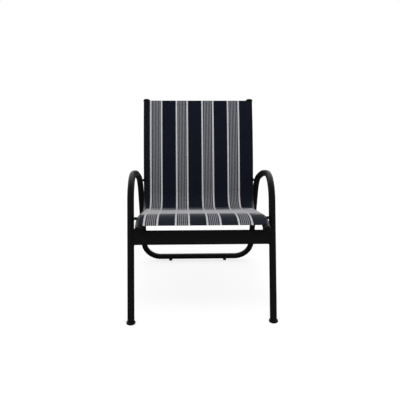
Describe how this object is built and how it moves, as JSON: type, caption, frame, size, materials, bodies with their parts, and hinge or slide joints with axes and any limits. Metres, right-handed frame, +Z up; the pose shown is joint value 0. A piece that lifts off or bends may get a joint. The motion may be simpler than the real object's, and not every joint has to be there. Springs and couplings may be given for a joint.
{
  "type": "stacking patio chair",
  "caption": "Stacking outdoor armchair with a one-piece striped sling seat and back between two bent rails, bolted inside a black round-tube frame.",
  "frame": {"origin": "on the floor, at the middle of the chair's footprint box", "axes": "+Z up, the chair faces -Y, +X to the right as seen from in front of it"},
  "size_m": [0.625, 0.7124, 0.8492],
  "materials": {
    "frame_steel": "satin black powder coat",
    "rail_aluminium": "satin black powder coat",
    "black_plastic": "moulded black plastic",
    "zinc_steel": "zinc plated",
    "black_steel": "black zinc plated",
    "spline_vinyl": "extruded vinyl rod",
    "sling_weave": "woven vinyl-coated yarn, navy with white and grey lengthwise stripes"
  },
  "bodies": {
    "root": {"left_arm_tube": "frame_steel", "left_splice_sleeve": "zinc_steel", "left_foot_cap": "black_plastic", "left_rear_glide": "black_plastic", "left_glide_screw": "zinc_steel", "left_sling_rail": "rail_aluminium", "left_spline": "spline_vinyl", "left_rail_front_cap": "black_plastic", "left_rail_top_cap": "black_plastic", "left_front_rail_spacer": "black_plastic", "left_front_rail_insert": "zinc_steel", "left_front_rail_bolt": "black_steel", "left_rear_rail_spacer": "black_plastic", "left_rear_rail_insert": "zinc_steel", "left_rear_rail_bolt": "black_steel", "right_arm_tube": "frame_steel", "right_splice_sleeve": "zinc_steel", "right_foot_cap": "black_plastic", "right_rear_glide": "black_plastic", "right_glide_screw": "zinc_steel", "right_sling_rail": "rail_aluminium", "right_spline": "spline_vinyl", "right_rail_front_cap": "black_plastic", "right_rail_top_cap": "black_plastic", "right_front_rail_spacer": "black_plastic", "right_front_rail_insert": "zinc_steel", "right_front_rail_bolt": "black_steel", "right_rear_rail_spacer": "black_plastic", "right_rear_rail_insert": "zinc_steel", "right_rear_rail_bolt": "black_steel", "rear_base_tube": "frame_steel", "front_stretcher": "frame_steel", "sling_fabric": "sling_weave", "seat_spreader": "rail_aluminium", "back_spreader": "rail_aluminium"}
  },
  "joints": []
}
